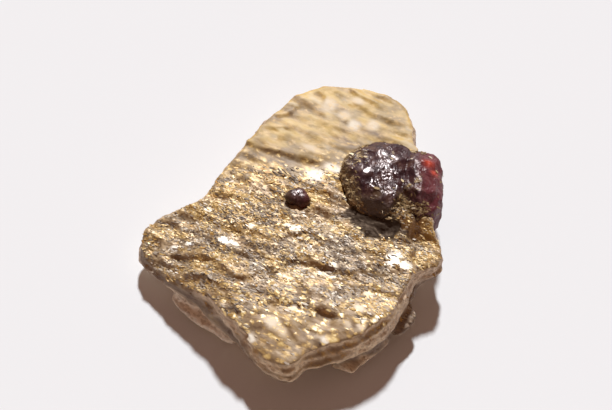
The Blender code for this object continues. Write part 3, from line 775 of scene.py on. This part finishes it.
rng = np.random.default_rng(CLEAR_SEED)
centre, up, length, tint = [], [], [], []
for x, y, patch_length, patch_width, paleness in PATCHES:
    if end_share(y) > PATCH_FLAKES_UNTIL or paleness > SMOOTH_FROM:
        continue
    lean = rng.normal(0.0, 0.05, 3)
    for _ in range(round(PATCH_FLAKES_PER_MM2 * patch_length * patch_width)):
        u, v = rng.normal(0.0, 0.25, 2) * (patch_length, patch_width)
        place = np.array([x, y, 0.0]) + DRAWN * u + ACROSS * v
        z, normal = height_at(place[0], place[1])
        centre.append((place[0] * MM, place[1] * MM, z + rng.uniform(-0.02, 0.03) * MM))
        up.append(LAMP_RETURN * 0.75 + normal * 0.25 + lean + rng.normal(0.0, 0.05, 3))
        length.append(rng.uniform(0.3, 0.7) * MM)
        tint.append(np.clip(paleness + rng.normal(0.0, 0.15), 0.0, 1.0))
centre, up, length, tint = np.array(centre), unit(np.array(up)), np.array(length), np.array(tint)
count = len(centre)
along = DRAWN + rng.normal(0.0, 0.3, (count, 3))
width = length * rng.uniform(0.4, 0.8, count)
ends = 0.8 * end_share(centre[:, 1] / MM)
patches = plate_mesh("mica_patches", CLEAR_SHAPE_SEED, centre, up, along, length, width, tint, ends)
patches.data.materials.append(mica_material("mica_patches", PATCH_COLOURS, 0.05, 0.42))
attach(patches, "root")

# ----------------------------------------------------------------------------------------------------------
# Large garnet. Two almandine crystals grown together, standing out of the mica at the slab's edge. Their
# faces are stepped and dented, so that only parts of them catch the lamp, and the far corner is painted a
# glowing red: painted light, as if the lamp shone through it.
GARNET_VOXEL = 0.14 * MM
GARNET_RELIEF = 0.8  # strength of the worn faces
GARNET_BURIED = 8.6  # height below which the crystals are buried
SOCKET_FILL, SOCKET_OVER = 0.2, 0.8
SHEEN = [(12.4, 7.6, 0.9), (13.6, 7.2, 0.9), (12.9, 5.8, 0.9), (10.0, 4.9, 0.7)]  # x, y, reach
SPECKLE = [(12.9, 4.6, 1.3), (13.0, 2.9, 1.5), (11.0, 3.2, 0.8)]
# where the far corner is painted glowing red, as painted light shining through it
PAINTED_GLOW = [(18.3, 6.9, 0.7), (19.0, 5.6, 0.5)]
GOLDEN_FLECKS = [(9.4, 8.1, 0.6), (15.5, 2.8, 0.5), (14.6, 1.6, 0.7), (11.4, 1.7, 0.6), (16.8, 3.6, 0.4)]
# Zones of the crystals along X, Y and Z: where each starts, and over what distance it sets in.
RED_X = (16.4, 1.5)
PAINTED_GLOW_Z = (7.6, 0.6)
TOP_Z = (9.0, 0.6)
FLANK_X, FLANK_Z = (9.6, 1.2), (9.8, 1.0)
FRONT_X, FRONT_Y, FRONT_Z = (15.5, 1.0), (2.4, 1.2), (9.6, 0.6)
ALMANDINE_IOR = 1.78
ALMANDINE_ABSORPTION = (0.86, 0.05, 0.09)


def crystal_skin(place):
    """How far a crystal face stands in or out at a place: stepped growth, dents and fine grain."""
    steps = 0.06 * terraces(4.0 * noise.noise(place * 0.9))
    dents = -0.16 * max(noise.noise(place * 1.3 + Vector((7.0, 0.0, 0.0))) - 0.2, 0.0)
    return steps + dents + 0.03 * noise.noise(place * 2.6) + 0.012 * noise.noise(place * 5.5)


def crystal_piece(node, name, voxel, smoothing, relief, buried_below):
    """A node's crystals with worn faces, swollen to fill their sockets where they are buried."""
    piece = cad_copy(node, name)
    even_mesh(piece, voxel, smoothing)
    move_points(piece, lambda place, normal: crystal_skin(place) * relief
                + SOCKET_FILL * max(0.0, min(1.0, (buried_below - place.z) / SOCKET_OVER)))
    return piece


def garnet_finish(piece, name, density, colours):
    """Paint a piece as almandine, with the tints, gloss and facet tilt that its points carry."""
    made, tree, shader = new_material(name)
    body = noise_texture(tree, streaked_vector(tree, 1.0, 1.0), 0.9, 4.0, 0.55).outputs["Fac"]
    body = ramp(tree, body, colours)
    body = tinted(tree, body, "red", 0.7, (0.27, 0.050, 0.062))
    body = tinted(tree, body, "brown", 0.8, (0.28, 0.18, 0.10))
    body = tinted(tree, body, "front", 1.0, (0.21, 0.155, 0.12))
    # Painted light: a bright red where the lamp would shine through the far corner.
    body = tinted(tree, body, "painted_glow", 1.0, (0.85, 0.09, 0.035))
    tree.links.new(body, shader.inputs["Base Color"])
    shader.inputs["Transmission Weight"].default_value = 0.45
    shader.inputs["IOR"].default_value = ALMANDINE_IOR
    shader.inputs["Specular Tint"].default_value = (1.0, 0.84, 0.80, 1.0)
    gloss = attribute_value(tree, "gloss")
    tree.links.new(spread(tree, gloss, 0.40, 0.26), shader.inputs["Roughness"])
    tree.links.new(spread(tree, gloss, 0.06, 0.55), shader.inputs["Specular IOR Level"])
    facet_tilt = attribute_value(tree, "facet_tilt")
    facets = (flake_cells(tree, 0.24, 0.22), facet_tilt)
    blocks = (flake_cells(tree, 0.9, 0.8), spread(tree, facet_tilt, 0.12, 0.45, 0.15, 0.75))
    leaned = tilted_normal(tree, facets, blocks, level=spread(tree, gloss, 0.0, 0.9))
    tree.links.new(leaned, shader.inputs["Normal"])
    absorption = tree.nodes.new("ShaderNodeVolumeAbsorption")
    absorption.inputs["Color"].default_value = (*ALMANDINE_ABSORPTION, 1.0)
    absorption.inputs["Density"].default_value = density
    tree.links.new(absorption.outputs["Volume"], tree.nodes["Material Output"].inputs["Volume"])
    piece.data.materials.append(made)


def garnet_values(piece, red, brown, front, painted_glow, sheen, speckle):
    """Store what garnet_finish reads: sheen is smooth and bright, speckle breaks up into bright facets."""
    mesh = piece.data
    add_values(mesh, "red", red)
    add_values(mesh, "brown", brown)
    add_values(mesh, "front", front)
    add_values(mesh, "painted_glow", painted_glow)
    add_values(mesh, "gloss", np.maximum(sheen, speckle))
    add_values(mesh, "facet_tilt", 0.12 + 0.63 * speckle * (1.0 - sheen))


garnet = crystal_piece("large_garnet", "garnet_large", GARNET_VOXEL, 1, GARNET_RELIEF, GARNET_BURIED)
x, y, z = (np.array([vertex.co for vertex in garnet.data.vertices]) / MM).T
left_flank = fall(x, *FLANK_X) * fall(z, *FLANK_Z)
brown = np.maximum(left_flank, round_share(x, y, GOLDEN_FLECKS))
front = 0.9 * fall(y, *FRONT_Y) * fall(x, *FRONT_X) * fall(z, *FRONT_Z)
painted_glow = round_share(x, y, PAINTED_GLOW) * rise(z, *PAINTED_GLOW_Z)
top = rise(z, *TOP_Z)
garnet_values(garnet, rise(x, *RED_X), brown, front, painted_glow,
              round_share(x, y, SHEEN) * top, round_share(x, y, SPECKLE) * top)
garnet_finish(garnet, "almandine", 1800.0, [(0.36, (0.040, 0.010, 0.015)), (0.5, (0.075, 0.022, 0.026)),
                                            (0.66, (0.16, 0.070, 0.050))])
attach(garnet, "root")
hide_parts("large_garnet")

# ----------------------------------------------------------------------------------------------------------
# Mica on the garnet. Golden scraps of mica still stick to the crystals where they came out of the rock: over
# the left flank, all round the foot, in a few flecks on top and in a ridge before the edge crystal.
SCRAPS = 1500
CLEFT_SCRAPS = 420
CLEFT = np.array([14.8, 0.3, 8.3]) * MM  # between the two crystals, in front
CLEFT_SPREAD = np.array([1.1, 0.7, 0.45]) * MM
LOWEST_SCRAP = 6.4
SCRAP_SEED, SCRAP_SHAPE_SEED = 31, 32
SCRAP_COLOURS = [(0.0, (0.16, 0.09, 0.04)), (0.6, (0.36, 0.24, 0.11)), (1.0, (0.60, 0.45, 0.24))]
garnet_centre, garnet_normal, garnet_area = surface_samples(garnet)
x, y, z = garnet_centre.T / MM
left_flank = fall(x, 9.8, 1.2) * fall(z, 10.0, 1.0)
foot = 1.3 * fall(z, 8.7, 0.5) * rise(y, -2.0, 2.0)
right_front = 1.6 * fall(z, 9.7, 0.6) * fall(y, 1.6, 1.0) * rise(x, 13.4, 1.0)
flecks = 0.8 * round_share(x, y, GOLDEN_FLECKS)
dark_front = rise(x, 9.6, 0.6) * fall(x, 14.0, 0.6) * fall(y, 1.4, 1.0)
cover = np.clip(left_flank + foot + right_front + flecks + 0.02, 0.0, 1.8) * (1.0 - 0.9 * dark_front)
cover *= np.maximum(fall(x, 18.2, 0.6), 0.05) * fall(y, 11.0, 0.6)
weight = garnet_area * cover * (garnet_normal[:, 2] > -0.3) * (z > LOWEST_SCRAP)
rng = np.random.default_rng(SCRAP_SEED)
chosen = rng.choice(len(garnet_area), SCRAPS, p=weight / np.sum(weight))
up = garnet_normal[chosen] + UPWARD * 0.3 + rng.normal(0.0, 0.2, (SCRAPS, 3))
place = garnet_centre[chosen] + garnet_normal[chosen] * PLATE_THICKNESS / 2
up = np.concatenate([up, UPWARD + rng.normal(0.0, 0.35, (CLEFT_SCRAPS, 3)) - np.array([0.0, 0.4, 0.0])])
place = np.concatenate([place, CLEFT + rng.normal(0.0, 1.0, (CLEFT_SCRAPS, 3)) * CLEFT_SPREAD])
count = SCRAPS + CLEFT_SCRAPS
length = (0.2 + 0.9 * rng.random(count) ** LARGE_RARE) * MM
along = DRAWN + rng.normal(0.0, 0.5, (count, 3))
width = length * rng.uniform(0.2, 0.5, count)
tint = rng.random(count)
scraps = plate_mesh("mica_on_garnet", SCRAP_SHAPE_SEED, place, unit(up), along, length, width, tint,
                    np.zeros(count))
scraps.data.materials.append(mica_material("mica_on_garnet", SCRAP_COLOURS, 0.1, 0.42))
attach(scraps, "root")

# ----------------------------------------------------------------------------------------------------------
# Small garnet. Three grains of the same garnet on the top face, grown together so closely that they run into
# one lumpy body: their points are drawn part of the way to the ellipsoid that fits the piece.
SMALL_VOXEL = 0.09 * MM
SMALL_SMOOTHING, SMALL_RELIEF, SMALL_BURIED = 8, 0.6, 7.3
RUN_TOGETHER = 0.48  # share of the way to the ellipsoid
SMALL_SHEEN = [(1.1, 3.3, 0.35)]
SMALL_SPECKLE = [(1.1, 2.9, 0.7)]

grains = crystal_piece("small_garnet", "garnet_small", SMALL_VOXEL, SMALL_SMOOTHING, SMALL_RELIEF,
                       SMALL_BURIED)
grown = np.array([vertex.co for vertex in grains.data.vertices])
middle = (grown.max(axis=0) + grown.min(axis=0)) / 2.0
half = (grown.max(axis=0) - grown.min(axis=0)) / 2.0
outward = unit((grown - middle) / half)
grown += RUN_TOGETHER * (middle + outward * half - grown)
grains.data.vertices.foreach_set("co", grown.ravel())
grains.data.update()
x, y, z = grown.T / MM
plain = np.zeros(len(x))
# The small garnet's left part is painted tan: painted light where the lamp catches it.
garnet_values(grains, 0.4 * rise(x, 1.2, 0.8), 0.5 * fall(x, 0.4, 0.6), plain, plain,
              round_share(x, y, SMALL_SHEEN), 0.6 * round_share(x, y, SMALL_SPECKLE))
garnet_finish(grains, "almandine_small", 1500.0, [(0.36, (0.05, 0.02, 0.02)), (0.66, (0.16, 0.07, 0.06))])
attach(grains, "root")
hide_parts("small_garnet")
